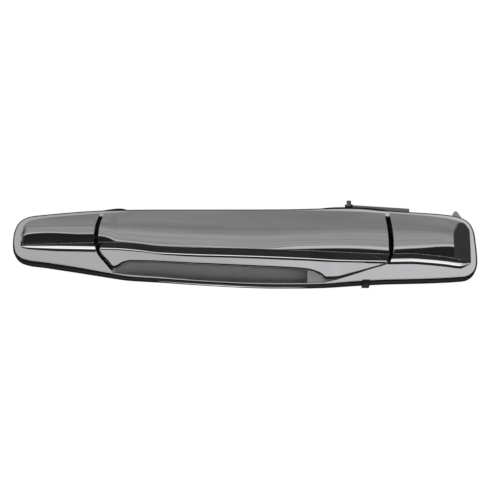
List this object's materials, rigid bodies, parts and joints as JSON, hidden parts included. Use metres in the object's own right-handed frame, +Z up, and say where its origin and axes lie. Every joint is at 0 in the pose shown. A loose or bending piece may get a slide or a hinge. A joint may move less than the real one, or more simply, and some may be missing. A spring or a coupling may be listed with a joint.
{
  "type": "car door handle",
  "caption": "Chromed outside door handle with a hinged pull strap between two pods, black carrier and gasket, and a sprung bell crank that lifts the latch rod.",
  "frame": {"origin": "midway between the two mounting bolts, on the plane of the outside of the door skin", "axes": "+X along the handle towards the rear of the vehicle, +Y into the door, +Z up"},
  "size_m": [0.3033, 0.0668, 0.0583],
  "materials": {
    "chrome": "mirror-bright plating",
    "black_plastic": "fine grained black moulding",
    "gasket_rubber": "matt black rubber",
    "black_steel": "black phosphated spring steel",
    "pressed_steel": "dull pressed steel",
    "zinc_plate": "pale zinc plating",
    "pale_plastic": "natural acetal",
    "brass": "turned brass",
    "cast_weight": "rough cast",
    "spring_steel": "drawn spring wire",
    "clip_plastic": "green moulded plastic"
  },
  "bodies": {
    "base": {"bezel": "chrome", "chassis": "black_plastic", "seal_gasket": "gasket_rubber", "edge_clip": "black_steel", "guide_bracket": "pressed_steel", "bracket_stud": "pressed_steel", "locating_tab": "zinc_plate", "gap_pad_front": "gasket_rubber", "gap_pad_rear": "gasket_rubber", "pivot_pin": "zinc_plate", "pivot_pin_clip": "black_steel", "insert_front": "brass", "insert_rear": "brass", "crank_shaft": "zinc_plate", "crank_shaft_clip": "black_steel", "return_spring": "spring_steel", "chassis_screw_front": "zinc_plate", "chassis_screw_rear": "zinc_plate"},
    "handle": {"handle_shell": "chrome", "handle_core": "black_plastic", "pivot_leg": "pressed_steel", "pull_leg": "pressed_steel", "pivot_bush": "pale_plastic", "core_screw_front": "zinc_plate", "core_screw_rear": "zinc_plate", "rest_bumper_front": "gasket_rubber", "rest_bumper_rear": "gasket_rubber"},
    "crank": {"bell_crank": "zinc_plate", "crank_bush": "pale_plastic", "counterweight": "cast_weight", "counterweight_rivet": "zinc_plate"},
    "rod_clip": {"rod_clip": "clip_plastic"}
  },
  "joints": [
    {"name": "strap_hinge", "type": "hinge", "parent": "base", "child": "handle", "pos_m": [-0.085, -0.0085, 0.0058], "axis": [0, 0, -1], "range_deg": [0, 7.5], "stiffness_Nm_per_rad": 1.2, "springref_deg": -20.05},
    {"name": "crank_turn", "type": "hinge", "parent": "base", "child": "crank", "pos_m": [0.084, 0.0165, -0.0134], "axis": [1, 0, 0], "range_deg": [0, 66], "deforming": ["return_spring"]},
    {"name": "rod_clip_swivel", "type": "hinge", "parent": "crank", "child": "rod_clip", "pos_m": [0.099, 0.03411, -0.00966], "axis": [1, 0, 0], "range_deg": [-70, 15]}
  ],
  "couplings": [
    {"joint": "crank_turn", "follows": "strap_hinge", "ratio": 8.72}
  ]
}
